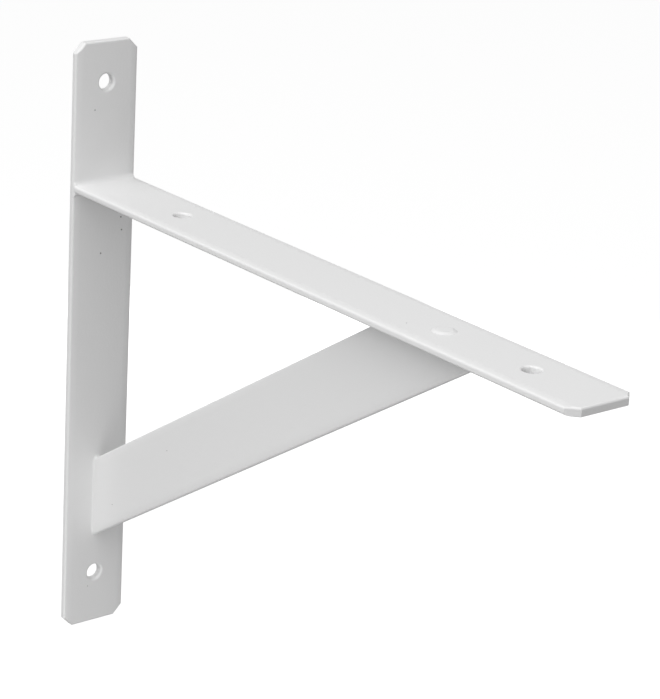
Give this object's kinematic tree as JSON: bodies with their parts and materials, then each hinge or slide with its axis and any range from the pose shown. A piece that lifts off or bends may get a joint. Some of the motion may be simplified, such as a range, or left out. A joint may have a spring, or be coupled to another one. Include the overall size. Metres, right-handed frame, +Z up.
{
  "type": "gallows shelf bracket",
  "caption": "White steel shelf bracket: flat upright for the wall, longer flat arm for the shelf and a diagonal brace on edge, welded together.",
  "frame": {"origin": "on the upright's back face, where it meets the wall, in the middle of its width and level with the top of the arm", "axes": "+X away from the wall along the arm, +Y across the bars' width, +Z up along the upright towards its shorter end"},
  "size_m": [0.4, 0.04, 0.3435],
  "materials": {
    "coating": "satin white powder coat"
  },
  "bodies": {
    "root": {"wall_bar": "coating", "shelf_arm": "coating", "brace": "coating", "arm_weld": "coating", "plug_weld": "coating", "brace_foot_weld": "coating", "brace_head_weld": "coating"}
  },
  "joints": []
}
